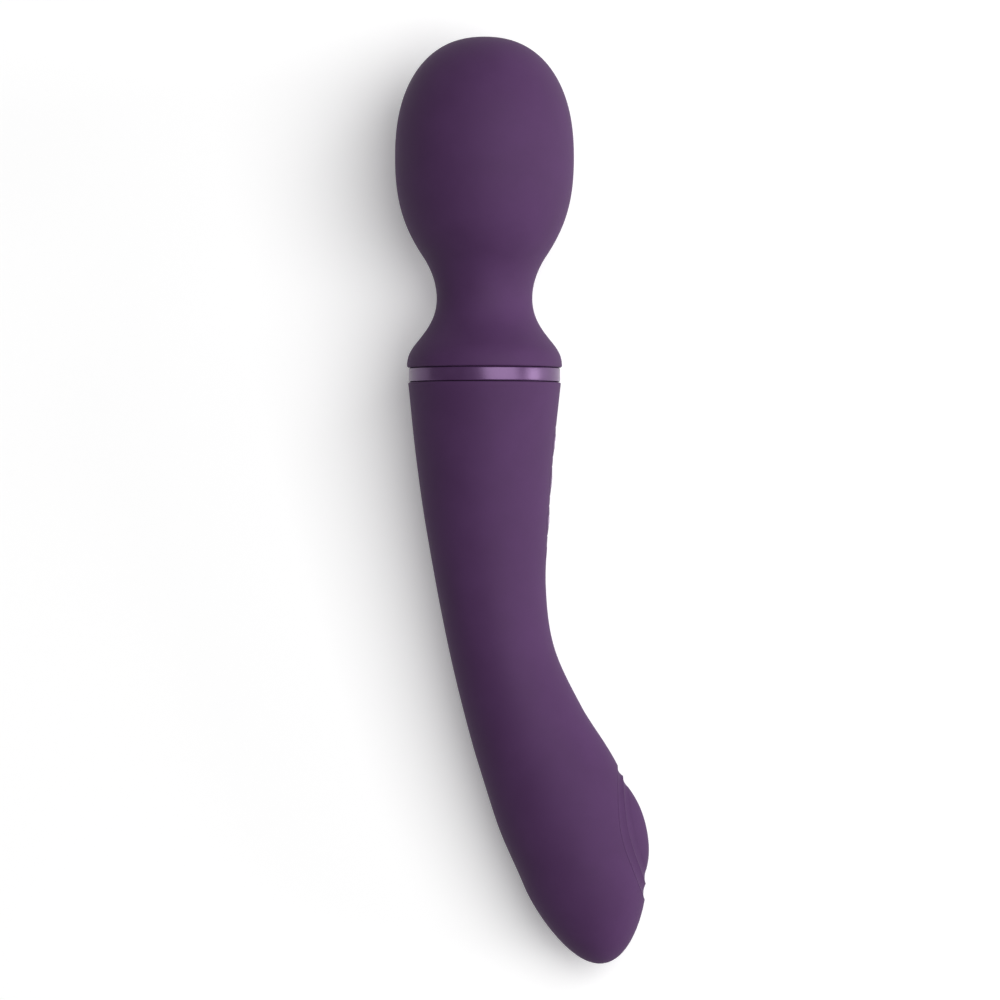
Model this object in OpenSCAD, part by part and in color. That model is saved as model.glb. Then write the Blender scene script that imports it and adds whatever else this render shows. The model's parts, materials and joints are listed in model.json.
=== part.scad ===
// Handheld wand massager with a round head at one end and a curved tail at the other.
// A motor with an off-centre weight shakes each end, and a solenoid taps a soft pad on
// the front of the tail. Three keys and a charging socket sit on the front of the handle.
//
// Each piece is drawn in the wand's own upright frame: the origin is the centre of the
// trim ring's top face, +Z runs up the neck to the head and +X is the front. lay() then
// sets the wand down on its side, with +Y to the head, +X to the front and +Z up.

/* [Head] */
// Largest radius of the round head
head_r = 23.2; // [22.9:0.1:23.5]
// Height of the head's widest circle above the trim ring
head_z = 54.5; // [54:0.5:55]
// Height of the crown above the head's widest circle
crown_h = 31.3; // [31:0.1:32]
// Roundness of the crown, where 2 is an ellipse
crown_n = 2.3; // [2.1:0.1:2.4]
// Smallest radius of the neck
neck_r = 12.4; // [12.2:0.1:12.6]
// Height of the narrowest part of the neck above the trim ring
neck_z = 18; // [17.5:0.5:18.5]
// Radius of the shoulder just above the trim ring
shoulder_r = 20.1; // [20:0.1:20.4]

/* [Skin and shells] */
// Thickness of the silicone skin
skin_t = 2.1; // [2:0.1:2.2]
// Thickness of the plastic shells
shell_t = 1.7; // [1.6:0.1:1.8]
// Outer radius of the trim ring
ring_r = 19.6; // [19.4:0.1:19.7]
// Height of the trim ring
ring_h = 3.6; // [3.4:0.1:3.8]

/* [Keys and charging socket] */
// Radius of each key
key_r = 4; // [3.8:0.1:4.2]
// Distance from one key to the next
key_pitch = 10.2; // [10:0.1:10.6]
// How far a key travels inwards
key_travel = 0.6; // [0.4:0.1:0.6]
// Radius of the charging socket's bore
jack_bore_r = 1.3; // [1.2:0.05:1.4]
// Depth of the charging socket's bore
jack_bore_h = 6; // [5.6:0.1:6]

/* [Pulse pad] */
// Half the length of the pulse pad
pad_a = 18; // [17.6:0.1:18.2]
// Half the width of the pulse pad
pad_b = 10.6; // [10.2:0.1:10.8]
// Height of the dome on the pulse pad
dome_h = 1.6; // [1.5:0.1:2]
// How far the pulse pad travels outwards
pad_travel = 3; // [2:0.1:3]

/* [Drive] */
// Radius of the head motor's can
head_can_r = 12.1; // [12:0.05:12.15]
// Length of the head motor's can
head_can_h = 27; // [26.5:0.1:27.1]
// Radius of the tail motor's can
tail_can_r = 7.7; // [7.6:0.05:7.75]
// Length of the tail motor's can
tail_can_h = 18; // [17.8:0.1:18.1]
// Radius of the battery cell
cell_r = 7; // [6.9:0.05:7]
// Length of the battery cell
cell_h = 43; // [42.5:0.1:43.1]

/* [Hidden] */

skin_colour = [0.3, 0.19, 0.33];
shell_colour = [0.2, 0.19, 0.21];
trim_colour = [0.55, 0.45, 0.6];
steel_colour = [0.72, 0.72, 0.74];
brass_colour = [0.8, 0.65, 0.35];
copper_colour = [0.75, 0.42, 0.25];
rubber_colour = [0.12, 0.12, 0.13];
board_colour = [0.1, 0.35, 0.2];

$fn = 64;
eps = 0.01;
// Gap between neighbouring pieces of one body, and between pieces that move apart
seat_gap = 0.1;
move_gap = 0.3;
// Radial clearance of a shaft or rod that turns or slides in a hole
run_gap = 0.03;

// Depths below the outer surface: outside of the shells, inside of the shells
shell_out = skin_t + seat_gap;
shell_in = shell_out + shell_t;
// The handle starts just under the trim ring
grip_z = -ring_h - move_gap;

// ---------------------------------------------------------------- plain geometry

function unit(v) = v / norm(v);
function flip(list) = [for (i = [len(list) - 1 : -1 : 0]) list[i]];

// A cubic Bezier curve without its first point
function bezier(p, steps) = [
    for (i = [1 : steps])
        let (t = i / steps, s = 1 - t)
        s * s * s * p[0] + 3 * s * s * t * p[1] + 3 * s * t * t * p[2] + t * t * t * p[3]
];

// A round wire swept along a path, ring by ring, with flat ends
module wire(path, r, sides = 8, ref = [0, 1, 0]) {
    n = len(path);
    points = [
        for (i = [0 : n - 1])
            let (
                t = unit(path[min(i + 1, n - 1)] - path[max(i - 1, 0)]),
                a = unit(cross(t, ref)),
                b = cross(t, a)
            )
            for (k = [0 : sides - 1])
                path[i] + r * (cos(360 * k / sides) * a + sin(360 * k / sides) * b)
    ];
    walls = [
        for (i = [0 : n - 2]) for (k = [0 : sides - 1])
            let (m = (k + 1) % sides, p = i * sides, q = p + sides)
            each [[p + k, q + m, p + m], [p + k, q + k, q + m]]
    ];
    first = [for (k = [0 : sides - 1]) k];
    last = [for (k = [sides - 1 : -1 : 0]) (n - 1) * sides + k];
    polyhedron(points, concat([first], walls, [last]));
}

// A coil spring between two heights, with one closed turn at each end
module coil(mean_r, wire_r, low, high, turns, steps = 14) {
    closed = 2.1 * wire_r;
    pitch = (high - low - 2 * wire_r - 2 * closed) / (turns - 2);
    wire([
        for (i = [0 : turns * steps])
            let (s = i / steps, open = min(max(s - 1, 0), turns - 2), shut = s - open)
            [
                mean_r * cos(360 * s), mean_r * sin(360 * s),
                low + wire_r + closed * shut + pitch * open
            ]
    ], wire_r, 6, [0, 0, 1]);
}

module tube(outer_r, inner_r, low, high) {
    translate([0, 0, low])
        rotate_extrude()
            translate([inner_r, 0])
                square([outer_r - inner_r, high - low]);
}

module disc(r, low, high) {
    translate([0, 0, low]) cylinder(r = r, h = high - low);
}

// ---------------------------------------------------------------- outline of the head

// [radius, height] from the crown down to the lip above the trim ring
crown = [
    for (t = [90 : -7.5 : 0])
        [head_r * pow(cos(t), 2 / crown_n), head_z + crown_h * pow(sin(t), 2 / crown_n)]
];
flank_end = [16.1, 29.1];
flank_slope = [1.4, 2.1];
shoulder_mid = [17, 7.3];
shoulder_slope = [2, -2.5];
lip_z = 1;
head_path = concat(
    crown,
    bezier([[head_r, head_z], [head_r, 44.8], flank_end + 4 * flank_slope, flank_end], 8),
    bezier([flank_end, flank_end - flank_slope, [neck_r, neck_z + 5], [neck_r, neck_z]], 6),
    bezier([[neck_r, neck_z], [neck_r, neck_z - 5], shoulder_mid - shoulder_slope,
        shoulder_mid], 6),
    bezier([shoulder_mid, shoulder_mid + 0.8 * shoulder_slope, [shoulder_r, lip_z + 2.6],
        [shoulder_r, lip_z]], 5)
);

// The same outline moved inwards by a distance
function head_inset(d) = [
    for (i = [0 : len(head_path) - 1])
        let (
            before = head_path[max(i - 1, 0)],
            after = head_path[min(i + 1, len(head_path) - 1)],
            t = i == 0 ? [1, 0] : unit(after - before)
        )
        [max(head_path[i][0] + d * t[1], 0), head_path[i][1] - d * t[0]]
];
function between(path, low, high) = [for (p = path) if (p[1] > low && p[1] < high) p];

// Radius of an outline at a height, by straight lines between its points
function radius_at(path, z) = [
    for (i = [0 : len(path) - 2])
        if (path[i][1] >= z && path[i + 1][1] < z)
            path[i][0] + (path[i + 1][0] - path[i][0])
                * (path[i][1] - z) / (path[i][1] - path[i + 1][1])
][0];

// The part of an outline between two heights, with its ends cut square
function cut_path(path, low, high) = concat(
    high > path[0][1] ? [path[0]] : [[radius_at(path, high), high]],
    between(path, low, min(high, path[0][1])),
    [[radius_at(path, low), low]]
);

// A wall of even thickness that follows the head between two heights
module head_wall(outer, inner, low, high) {
    rotate_extrude()
        polygon(concat(
            cut_path(head_inset(outer), low, high),
            flip(cut_path(head_inset(inner), low, high))
        ));
}

// The solid of revolution inside an inset of the head, between two heights
module head_core(inset, low, high) {
    rotate_extrude()
        polygon(concat([[0, high]], cut_path(head_inset(inset), low, high), [[0, low]]));
}

// ---------------------------------------------------------------- outline of the handle

// Stations down the handle: spine x, spine z, half depth, half width
STATIONS = [
    [0, grip_z, 19.8, 19.8],
    [0, -20, 18.1, 17.9],
    [0.6, -38, 16.2, 15.9],
    [2, -58, 14, 14],
    [5.2, -76, 13.4, 13.4],
    [11.5, -94, 15.1, 14],
    [19.6, -112, 17.4, 14.5],
    [26, -130, 16.3, 13.6],
    [31.4, -154.2, 13, 11.5]
];
last_station = len(STATIONS) - 1;
// The end of the tail rounds off over the last span
round_from = last_station - 1;
tip_len = norm([
    STATIONS[last_station][0] - STATIONS[round_from][0],
    STATIONS[last_station][1] - STATIONS[round_from][1]
]);

function station(i) =
    i < 0 ? 2 * STATIONS[0] - STATIONS[1]
    : i > last_station ? 2 * STATIONS[last_station] - STATIONS[last_station - 1]
    : STATIONS[i];

// A smooth curve through the stations
function along(u) =
    let (
        i = min(floor(u), last_station - 1), t = u - i,
        p0 = station(i - 1), p1 = station(i), p2 = station(i + 1), p3 = station(i + 2)
    )
    p1 + 0.5 * t * (p2 - p0 + t * (2 * p0 - 5 * p1 + 4 * p2 - p3
        + t * (3 * p1 - p0 - 3 * p2 + p3)));

function heading(u) =
    let (d = along(min(u + 0.02, last_station)) - along(max(u - 0.02, 0)))
    unit([d[0], d[1]]);

// One ring of the handle's surface, moved inwards by inset and shrunk towards the spine
function ring_at(u, shrink, inset, sides) =
    let (s = along(u), d = heading(u), a = (s[2] - inset) * shrink, b = (s[3] - inset) * shrink)
    [
        for (k = [0 : sides - 1])
            let (t = 360 * (k + 0.5) / sides)
            [s[0] - d[1] * a * cos(t), b * sin(t), s[1] + d[0] * a * cos(t)]
    ];

// All rings of the handle, top to tip. Above 0, rise lifts the first ring
function grip_rings(inset, sides, steps, rise) =
    let (reach = (last_station - round_from) * (tip_len - inset) / tip_len)
    concat(
        [[for (p = ring_at(0, 1, inset, sides)) p + [0, 0, rise]]],
        [for (i = [1 : round_from * steps]) ring_at(i / steps, 1, inset, sides)],
        [
            for (t = [15 : 15 : 75])
                ring_at(round_from + reach * sin(t), cos(t), inset, sides)
        ]
    );

function grip_tip(inset) =
    let (s = along(round_from + (last_station - round_from) * (tip_len - inset) / tip_len))
    [s[0], 0, s[1]];

// The handle as a closed solid, inset millimetres below its outer surface
module grip(inset, sides = 20, steps = 2, rise = 0) {
    rings = grip_rings(inset, sides, steps, rise);
    n = len(rings);
    points = concat([for (ring = rings) each ring], [grip_tip(inset)]);
    walls = [
        for (i = [0 : n - 2]) for (k = [0 : sides - 1])
            let (m = (k + 1) % sides, p = i * sides, q = p + sides)
            each [[p + k, p + m, q + m], [p + k, q + m, q + k]]
    ];
    top = [for (k = [sides - 1 : -1 : 0]) k];
    tip = [for (k = [0 : sides - 1]) [(n - 1) * sides + k, (n - 1) * sides + (k + 1) % sides,
        n * sides]];
    polyhedron(points, concat([top], walls, tip));
}
outer_sides = 32;
outer_steps = 3;

// ---------------------------------------------------------------- places on the wand

// The wand lies on its side, so it tips until the head and the tail both touch down
tail_touch = [STATIONS[6][1], STATIONS[6][3]];
lie_angle = atan2(head_r - tail_touch[1], head_z - tail_touch[0]);
// [height, reach] of each circle or ring point that can be outermost as the wand lies
lie_points = concat(
    [for (p = head_path) [p[1], p[0]]],
    [for (ring = grip_rings(0, outer_sides, outer_steps, 0)) for (p = ring) [p[2], p[1]]],
    [[grip_tip(0)[2], 0]]
);
lie_low = min([for (p = lie_points) p[0] * sin(lie_angle) - p[1] * cos(lie_angle)]);
lie_head = max([for (p = lie_points) p[0] * cos(lie_angle) + p[1] * sin(lie_angle)]);
lie_tail = min([for (p = lie_points) p[0] * cos(lie_angle) + p[1] * sin(lie_angle)]);

// The pulse pad's frame: origin on the skin, +X to the tip, +Z straight out of the skin
pad_pos = [40.3, 0, -120];
pad_turn = 90 - 11.5;
pad_dir = [sin(pad_turn), cos(pad_turn)];
dome_a = 10.6;
dome_b = 6.2;
dome_shift = 1;
dome_base = -0.4;
front_reach = pad_pos[0] + dome_shift * cos(pad_turn) + dome_base * sin(pad_turn)
    + norm([dome_a * cos(pad_turn), dome_h * sin(pad_turn)]);

lie_shift = [(head_r - front_reach) / 2, -(lie_head + lie_tail) / 2, -lie_low];
module lay() {
    translate(lie_shift) rotate([lie_angle - 90, 0, 0]) children();
}

// The key row's frame: origin on the skin at the middle key, +X to the tail, +Z outwards
key_lean = 4.4;
module at_keys() {
    translate([17.3, 0, -29.4]) rotate([0, 90 + key_lean, 0]) children();
}
jack_x = 18.9;

module at_pad() {
    translate(pad_pos) rotate([0, pad_turn, 0]) children();
}

// The battery's frame: origin at the middle of its upper end, +Z up along it
module at_cell() {
    translate([-5.9, 0, -12]) rotate([0, -7, 0]) children();
}

// The tail motor's frame: origin at the middle of its can, +Z up along its shaft
module at_tail_motor() {
    translate([5.9, 0, -78.5]) rotate([0, -16, 0]) children();
}

module oval_prism(a, b, low, high) {
    translate([0, 0, low])
        linear_extrude(high - low)
            polygon([for (t = [0 : 10 : 350]) [a * cos(t), b * sin(t)]]);
}

// ---------------------------------------------------------------- head pieces

screw_ring_r = 17;
split_z = 55;

module head_screw_places() {
    for (a = [0 : 120 : 240])
        rotate(a + 30) translate([screw_ring_r, 0, 0]) children();
}

module head_sleeve() {
    foot_z = move_gap;
    color(skin_colour) lay()
        rotate_extrude()
            polygon(concat(
                head_path,
                [[shoulder_r - 0.2, foot_z]],
                flip(cut_path(head_inset(skin_t), foot_z + 0.8, head_z + crown_h))
            ));
}

module head_shell_cap() {
    low = split_z + seat_gap;
    seat_z = low + 3;
    top = head_z + crown_h;
    color(shell_colour) lay() difference() {
        union() {
            head_wall(shell_out, shell_in, low, top);
            intersection() {
                head_core(shell_out + 0.4, low, head_z + 24);
                head_screw_places() disc(2.6, low, top);
            }
        }
        head_screw_places() {
            disc(1.1, low - 1, seat_z + 1);
            disc(1.9, seat_z, top);
        }
    }
}

motor_pocket_r = 15.2;
head_can_z = 37;
cup_floor_z = 28;

module head_shell_cup() {
    color(shell_colour) lay() difference() {
        union() {
            head_wall(shell_out, shell_in, cup_floor_z, split_z);
            head_core(shell_out + 0.4, cup_floor_z, cup_floor_z + 2.4);
            tube(motor_pocket_r + 1.4, motor_pocket_r, cup_floor_z + 9, split_z - 0.2);
            intersection() {
                head_core(shell_out + 0.4, cup_floor_z + 8, split_z);
                union() {
                    head_screw_places() disc(2.4, cup_floor_z + 8, split_z);
                    tube(20, motor_pocket_r, cup_floor_z + 9, cup_floor_z + 10.6);
                }
            }
            disc(5.4, 22, cup_floor_z + 1);
        }
        disc(motor_pocket_r, cup_floor_z + 7, split_z + 1);
        disc(3.6, 21, cup_floor_z + 4);
        head_screw_places() disc(0.95, split_z - 8, split_z + 1);
    }
}

module screw(shank_r, shank_h, head_r, head_h) {
    disc(shank_r, -shank_h, 0);
    difference() {
        disc(head_r, 0, head_h);
        translate([0, 0, head_h / 2]) cylinder(r = head_r * 0.5, h = head_h, $fn = 6);
    }
}

module head_shell_screws() {
    color(steel_colour) lay()
        head_screw_places()
            translate([0, 0, split_z + seat_gap + 3]) screw(0.9, 10, 1.75, 1.3);
}

// ---------------------------------------------------------------- motors

// Each motor is drawn with its can's open end at height 0 and its shaft up
bush_r = 3;
module motor_can(r, h) {
    difference() {
        disc(r, 0, h);
        disc(r - 0.8, -1, h - 1);
        disc(bush_r * r / head_can_r + eps, h - 2, h + 1);
    }
}

module motor_endbell(r, h) {
    hub = bush_r * r / head_can_r;
    difference() {
        union() {
            disc(r - 0.1, -h, -0.05);
            for (s = [-1, 1])
                translate([s * r * 0.55 - 0.9, -0.3, -h - 1.6]) cube([1.8, 0.6, 2]);
        }
        disc(hub + eps, -h + 0.6, 1);
    }
}

module motor_magnets(r, low, high) {
    for (a = [25, 205])
        rotate(a)
            translate([0, 0, low])
                rotate_extrude(angle = 130)
                    translate([r - 2.5, 0]) square([1.6, high - low]);
}

module motor_bushes(r, shaft_r, low, high) {
    for (z = [low, high])
        tube(r, shaft_r + run_gap, z, z + r);
}

module motor_core(r, shaft_r, low, high) {
    difference() {
        union() {
            disc(r * 0.32, low - 0.3, high + 0.3);
            for (a = [0, 120, 240])
                rotate(a) {
                    translate([r * 0.22, -r * 0.14, low + 0.1])
                        cube([r * 0.66, r * 0.28, high - low - 0.2]);
                    translate([0, 0, low]) rotate(-48)
                        rotate_extrude(angle = 96)
                            translate([r * 0.8, 0]) square([r * 0.2, high - low]);
                }
        }
        disc(shaft_r + eps, low - 1, high + 1);
    }
}

module motor_windings(r, low, high) {
    for (a = [0, 120, 240])
        rotate(a)
            difference() {
                translate([r * 0.36, -r * 0.33, low]) cube([r * 0.36, r * 0.66, high - low]);
                translate([r * 0.3, -r * 0.16, low + 2.4])
                    cube([r * 0.5, r * 0.32, high - low - 4.8]);
            }
}

module motor_commutator(r, shaft_r, low, high) {
    tube(r, shaft_r + eps, low, high);
}

module half_weight(r, shaft_r, low, high) {
    difference() {
        union() {
            disc(shaft_r + 2, low, high);
            intersection() {
                disc(r, low, high);
                translate([0, -r, low - 1]) cube([r, 2 * r, high - low + 2]);
            }
        }
        disc(shaft_r + eps, low - 1, high + 1);
    }
}

head_shaft_r = 1;
head_rotor_r = head_can_r - 3.2;
module at_head_motor() {
    translate([0, 0, head_can_z]) children();
}

module head_motor_can() {
    color(steel_colour) lay() at_head_motor() motor_can(head_can_r, head_can_h);
}

module head_motor_endbell() {
    color(rubber_colour) lay() at_head_motor() motor_endbell(head_can_r, 4);
}

module head_motor_magnets() {
    color(shell_colour) lay() at_head_motor() motor_magnets(head_can_r, 4, head_can_h - 4);
}

module head_motor_bushes() {
    color(brass_colour) lay() at_head_motor()
        motor_bushes(bush_r, head_shaft_r, -3.3, head_can_h - 1.5);
}

module head_motor_cushion() {
    color(rubber_colour) lay() {
        tube(head_can_r + 1.2, head_can_r + 0.05, head_can_z + 2, split_z - 0.5);
        for (z = [head_can_z + 3, head_can_z + 9, head_can_z + 15])
            tube(motor_pocket_r - 0.05, head_can_r + 1, z, z + 1.8);
    }
}

module head_motor_shaft() {
    color(steel_colour) lay() at_head_motor() disc(head_shaft_r, -3, head_can_h + 11);
}

module head_motor_core() {
    color(steel_colour) lay() at_head_motor() motor_core(head_rotor_r, head_shaft_r, 7, 20);
}

module head_motor_windings() {
    color(copper_colour) lay() at_head_motor() motor_windings(head_rotor_r, 4.6, 22.4);
}

module head_motor_commutator() {
    color(copper_colour) lay() at_head_motor() motor_commutator(2.4, head_shaft_r, 1, 4.4);
}

module head_weight() {
    color(brass_colour) lay() at_head_motor()
        half_weight(10.5, head_shaft_r, head_can_h + 3, head_can_h + 10.5);
}

tail_shaft_r = 0.75;
tail_rotor_r = tail_can_r - 2.8;
tail_bush_r = bush_r * tail_can_r / head_can_r;
// The tail motor hangs with its shaft towards the tip
module at_tail_can() {
    at_tail_motor() rotate([180, 0, 0]) translate([0, 0, -tail_can_h / 2]) children();
}

module tail_motor_can() {
    color(steel_colour) lay() at_tail_can() motor_can(tail_can_r, tail_can_h);
}

module tail_motor_endbell() {
    color(rubber_colour) lay() at_tail_can() motor_endbell(tail_can_r, 3);
}

module tail_motor_magnets() {
    color(shell_colour) lay() at_tail_can() motor_magnets(tail_can_r, 3, tail_can_h - 3);
}

module tail_motor_bushes() {
    color(brass_colour) lay() at_tail_can()
        motor_bushes(tail_bush_r, tail_shaft_r, -2.3, tail_can_h - 1.5);
}

module tail_motor_cradle() {
    color(rubber_colour) lay() at_tail_can()
        difference() {
            for (z = [2, 12])
                tube(tail_can_r + 1.1, tail_can_r + 0.05, z, z + 4);
            translate([0, -1.4, 0]) cube([12, 2.8, 20]);
        }
}

module tail_motor_shaft() {
    color(steel_colour) lay() at_tail_can() disc(tail_shaft_r, -2, tail_can_h + 10);
}

module tail_motor_core() {
    color(steel_colour) lay() at_tail_can() motor_core(tail_rotor_r, tail_shaft_r, 6, 13);
}

module tail_motor_windings() {
    color(copper_colour) lay() at_tail_can() motor_windings(tail_rotor_r, 3.6, 15.4);
}

module tail_motor_commutator() {
    color(copper_colour) lay() at_tail_can() motor_commutator(1.5, tail_shaft_r, 0.8, 3.4);
}

module tail_weight() {
    color(brass_colour) lay() at_tail_can()
        half_weight(6.8, tail_shaft_r, tail_can_h + 2.6, tail_can_h + 9.6);
}

// ---------------------------------------------------------------- neck and collar

spigot_r = 5.4;
lead_bore_r = 3.6;
spring_seat_z = 7;

module neck_spring() {
    color(steel_colour) lay()
        coil(spigot_r + 1, 0.75, spring_seat_z + 0.05, cup_floor_z - 0.05, 6);
}

collar_r = 17.5;
plug_r = 14.8;
seal_r = 0.7;
plug_z = -9.5;
collar_top_z = 9.5;
shoulder_gap = skin_t + 0.4;

module collar_mount() {
    color(shell_colour) lay() difference() {
        union() {
            head_core(shoulder_gap, 1.2, collar_top_z);
            disc(16.9, 0, 1.3);
            disc(collar_r, grip_z + 0.05, 0);
            disc(plug_r, plug_z, grip_z + 0.1);
        }
        tube(20, plug_r - 2 * seal_r, -7.4, -5.8);
        tube(12.8, 7.4, plug_z - 1, 3.4);
        difference() {
            disc(8.3, spring_seat_z, collar_top_z + 1);
            disc(spigot_r, spring_seat_z - 1, collar_top_z + 2);
        }
        disc(lead_bore_r, plug_z - 1, collar_top_z + 1);
    }
}

module collar_seal() {
    color(rubber_colour) lay()
        translate([0, 0, -6.6])
            rotate_extrude() translate([plug_r - seal_r + 0.1, 0]) circle(r = seal_r);
}

module trim_ring() {
    chamfer = 0.25;
    inner = collar_r + 0.1;
    color(trim_colour) lay()
        rotate_extrude()
            polygon([
                [inner, -ring_h], [ring_r - chamfer, -ring_h], [ring_r, -ring_h + chamfer],
                [ring_r, -chamfer], [ring_r - chamfer, 0], [inner, 0]
            ]);
}

// ---------------------------------------------------------------- handle shells and skin

port_lip_r = 1.85;
port_hole_r = 1.6;

module key_places() {
    for (i = [-1 : 1])
        translate([i * key_pitch, 0, 0]) children();
}

module handle_sleeve() {
    color(skin_colour) lay() difference() {
        union() {
            grip(0, outer_sides, outer_steps);
            at_keys() translate([jack_x, 0, -1]) cylinder(r = port_lip_r, h = 1.3);
        }
        grip(skin_t, 20, 2, 0.4);
        at_keys() {
            key_places() disc(key_r + move_gap, -4, 3);
            translate([jack_x, 0, 0]) disc(port_hole_r, -4, 3);
        }
        at_pad() oval_prism(pad_a, pad_b, -9, 6);
    }
}

// Places of the screws that hold the two halves together: [x, z] and boss radius
shell_screws = [[9.6, -12], [1.6, -60.8], [17.6, -104], [30, -142.5]];
boss_r = 2.5;
module shell_screw_places() {
    for (p = shell_screws)
        translate([p[0], 0, p[1]]) rotate([90, 0, 0]) children();
}

rib_t = 1.3;
module shell_ribs() {
    translate([-30, -30, -58.4]) cube([60, 60, rib_t]);
    at_tail_can() translate([-20, -20, tail_can_h + 0.9]) cube([40, 40, rib_t]);
    at_pad()
        for (x = [-10.3, 9.1])
            translate([x, -20, -23]) cube([1.2, 40, 12.5]);
}

// One half of the handle's shell. side is 1 for the right half and -1 for the left
module handle_half(side) {
    split = 0.05;
    difference() {
        intersection() {
            union() {
                difference() {
                    grip(shell_out);
                    grip(shell_in, 20, 2, 2);
                }
                intersection() {
                    grip(shell_out + 0.5);
                    union() {
                        difference() {
                            shell_ribs();
                            at_tail_can() {
                                disc(4.4, tail_can_h, tail_can_h + 4);
                                translate([0, -2.8, tail_can_h]) cube([20, 5.6, 4]);
                            }
                            translate([5, 0, -70]) disc(3.4, 0, 20);
                        }
                        shell_screw_places() disc(boss_r, -20, 20);
                        at_keys()
                            for (x = board_screw_x)
                                translate([x - 1.8, board_screw_y - 1.6, board_z - board_t - 2.7])
                                    cube([3.6, 10, 2.6]);
                    }
                }
            }
            translate([-60, side > 0 ? split : -60 - split, -170]) cube([130, 60, 168]);
        }
        at_keys() {
            key_places() disc(key_r + move_gap, -6, 3);
            translate([jack_x, 0, 0]) disc(3.1, -6, 3);
        }
        at_pad() oval_prism(pad_a - 1.7, pad_b - 1.5, -9, 6);
        at_keys()
            for (x = board_screw_x)
                translate([x, board_screw_y, 0]) disc(0.88, board_z - 5, board_z);
        shell_screw_places() {
            disc(1.15, 0, 20);
            disc(2, 4.8, 20);
            disc(1.05, -6, 1);
        }
    }
}

module handle_shell_left() {
    color(shell_colour) lay() handle_half(-1);
}

module handle_shell_right() {
    color(shell_colour) lay() handle_half(1);
}

module handle_shell_screws() {
    color(steel_colour) lay()
        shell_screw_places() translate([0, 0, 4.8]) screw(1, 10, 1.9, 1.3);
}

// ---------------------------------------------------------------- battery and board

module battery_cell() {
    color("steelblue") lay() at_cell() {
        disc(cell_r, -cell_h, 0);
        disc(2.6, -eps, 1);
    }
}

module battery_tray() {
    wall = 0.8;
    inner = cell_r + 0.1;
    color(shell_colour) lay() at_cell() intersection() {
        difference() {
            disc(inner + wall, -cell_h - 1.2, 1.3);
            disc(inner, -cell_h - 0.1, 0.1);
            disc(3, -0.5, 2);
        }
        translate([-inner - 2, -inner - 2, -cell_h - 2])
            cube([inner + 2, 2 * inner + 4, cell_h + 4]);
    }
}

board_z = -8.8;
board_t = 1;
board_from = -13.9;
board_to = 15.2;
board_w = 15;
board_screw_y = 5.6;
board_screw_x = [-12.1, 12.8];

module main_board() {
    color(board_colour) lay() at_keys() difference() {
        translate([board_from, -board_w / 2, board_z - board_t])
            cube([board_to - board_from, board_w, board_t]);
        for (x = board_screw_x)
            translate([x, board_screw_y, 0]) disc(0.9, board_z - 2, board_z + 1);
    }
}

module board_chips() {
    back = board_z - board_t - 0.02;
    color(rubber_colour) lay() at_keys() {
        translate([-8, -2.5, back - 1]) cube([5, 5, 1]);
        translate([1, -3.5, back - 1.2]) cube([4, 4, 1.2]);
        translate([8, -3, back - 1.4]) cube([3, 3, 1.4]);
        for (y = [-6, -3.5, 0])
            translate([-12.8, y, back - 1.8]) cube([3, 2, 1.8]);
    }
}

switch_h = 1.5;
module key_switches() {
    color(steel_colour) lay() at_keys() key_places()
        translate([-2.25, -2.25, board_z + 0.02]) cube([4.5, 4.5, switch_h]);
}

module status_led() {
    color("white") lay() at_keys()
        translate([key_pitch / 2 - 0.8, -0.6, board_z + 0.02]) cube([1.6, 1.2, 0.7]);
}

module board_screws() {
    color(steel_colour) lay() at_keys()
        for (x = board_screw_x)
            translate([x, board_screw_y, board_z + 0.02]) screw(0.85, 3, 1.5, 1);
}

// A key: domed cap, flange that stops under the shell, and the stem down to its switch
flange_z = -5.9;
stem_z = board_z + 0.1 + switch_h + key_travel;
module key() {
    rotate_extrude()
        polygon(concat(
            [[0, stem_z], [1.4, stem_z], [1.4, flange_z], [key_r + 0.6, flange_z],
                [key_r + 0.6, flange_z + 0.7], [key_r, flange_z + 0.7]],
            [for (t = [0 : 15 : 90]) [key_r - 0.5 + 0.5 * cos(t), -0.45 + 0.5 * sin(t)]],
            [[key_r * 0.45, 0.22], [0, 0.28]]
        ));
}

module key_at(i) {
    color(skin_colour) lay() at_keys() translate([i * key_pitch, 0, 0]) key();
}

module power_key() { key_at(-1); }
module head_mode_key() { key_at(0); }
module pulse_mode_key() { key_at(1); }

// ---------------------------------------------------------------- charging socket

jack_top = -shell_out - move_gap;
module charge_jack() {
    floor_t = 0.9;
    color(rubber_colour) lay() at_keys() translate([jack_x, 0, 0])
        tube_with_floor(3, jack_bore_r, jack_top - jack_bore_h - floor_t, jack_top, floor_t);
}

module tube_with_floor(outer_r, inner_r, low, high, floor_t) {
    difference() {
        disc(outer_r, low, high);
        disc(inner_r, low + floor_t, high + 1);
    }
}

module jack_seal() {
    color(rubber_colour) lay() at_keys()
        translate([jack_x, 0, -5.8])
            rotate_extrude() translate([3.4, 0]) circle(r = 0.35);
}

// ---------------------------------------------------------------- leads

lead_r = 0.5;
thin_lead_r = 0.35;

// Motor leads, through the collar and the middle of the neck spring
module head_motor_leads() {
    color("firebrick") lay()
        for (s = [-1, 1])
            wire([
                [s * 6, s * 0.9, 31.5], [s * 4.2, s * 0.9, 31.4], [s * 2.6, s * 0.9, 30.4],
                [s * 1.4, s * 0.9, 28], [s, s * 0.9, 23], [s, s * 0.9, 18],
                [s, s * 0.9, 13], [s, s * 0.9, 7], [s, s * 0.9, 1], [s, s * 0.9, -5],
                [1 + s, s * 0.9, -8.6], [3.2 + 0.8 * s, s * 0.9, -11],
                [5 + 0.7 * s, s * 0.9, -13], [5.4 + 0.7 * s, s * 0.9, -14.8]
            ], lead_r);
}

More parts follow.
